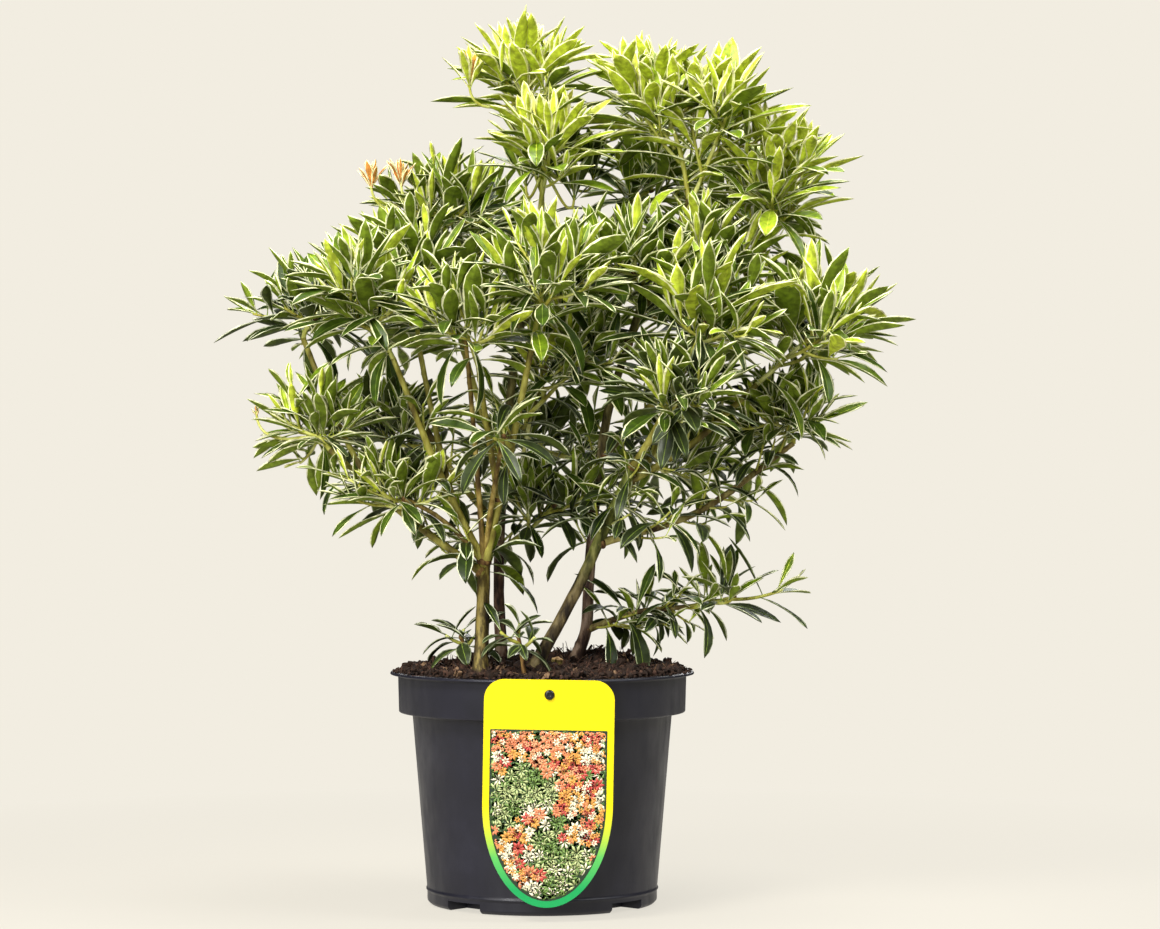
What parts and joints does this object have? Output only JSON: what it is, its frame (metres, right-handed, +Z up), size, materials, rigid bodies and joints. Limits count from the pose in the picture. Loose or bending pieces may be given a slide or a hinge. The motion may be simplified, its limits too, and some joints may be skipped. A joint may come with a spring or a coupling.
{
  "type": "potted pieris shrub",
  "caption": "Bushy evergreen pieris shrub with whorls of narrow cream-edged leaves on upright stems and spreading boughs, in a round charcoal nursery pot with a plain plant label.",
  "frame": {"origin": "middle of the pot's flat underside", "axes": "+Z up along the pot's axis, -Y the front with the plant label, +X to the right seen from the front"},
  "size_m": [0.4265, 0.3573, 0.5658],
  "materials": {
    "pot": "satin charcoal moulded plastic",
    "soil": "moist dark peat with bits of bark",
    "label_card": "printed plastic card, yellow turning to green, no lettering",
    "label_pin": "black plastic push pin",
    "bark_olive": "smooth olive bark with lengthwise cracks",
    "bark_brown": "rough red-brown bark",
    "bark_green": "green-yellow young bark",
    "leaf_bright": "bright yellow-green leaves with cream margins",
    "leaf_mid": "green leaves with cream margins",
    "leaf_dark": "dark grey-green leaves with white margins"
  },
  "bodies": {
    "root": {"pot": "pot", "soil": "soil", "plant_label": "label_card", "label_pin": "label_pin", "stem_front_left": "bark_olive", "stem_leader": "bark_brown", "stem_right": "bark_olive", "stem_bent": "bark_brown", "bough_centre_front": "bark_green", "bough_left_low": "bark_green", "bough_left_mid": "bark_green", "bough_centre_left": "bark_green", "bough_left_inner": "bark_green", "bough_left_shoulder": "bark_green", "bough_left_top": "bark_green", "bough_right": "bark_green", "bough_right_mid": "bark_green", "bough_right_side": "bark_green", "bough_right_upper": "bark_green", "bough_top_right": "bark_green", "bough_low_right": "bark_green", "bough_back_left": "bark_green", "bough_back": "bark_green", "bough_back_right": "bark_green", "bough_back_top": "bark_green", "foliage_left_tip": "leaf_dark", "foliage_left_shoulder": "leaf_mid", "foliage_left_front": "leaf_mid", "foliage_left_upper": "leaf_bright", "foliage_left_top": "leaf_bright", "foliage_centre_left": "leaf_mid", "foliage_centre_front": "leaf_bright", "foliage_front_low": "leaf_dark", "foliage_left_low": "leaf_dark", "foliage_spire": "leaf_bright", "foliage_spire_low": "leaf_bright", "foliage_centre": "leaf_bright", "foliage_front_right": "leaf_dark", "foliage_right_front": "leaf_mid", "foliage_right_heart": "leaf_bright", "foliage_top_middle": "leaf_bright", "foliage_top_end": "leaf_bright", "foliage_right_top": "leaf_bright", "foliage_right_tip": "leaf_mid", "foliage_right_low": "leaf_dark", "foliage_low_right": "leaf_dark", "foliage_centre_low": "leaf_dark", "foliage_centre_inner": "leaf_mid", "foliage_back_left_low": "leaf_dark", "foliage_back_left": "leaf_mid", "foliage_back_left_top": "leaf_bright", "foliage_back_low": "leaf_dark", "foliage_back": "leaf_mid", "foliage_back_right_low": "leaf_dark", "foliage_back_right": "leaf_mid", "foliage_back_right_end": "leaf_mid", "foliage_back_top": "leaf_bright", "foliage_back_right_top": "leaf_bright", "foliage_basal_left": "leaf_dark", "foliage_basal_middle": "leaf_dark"}
  },
  "joints": []
}
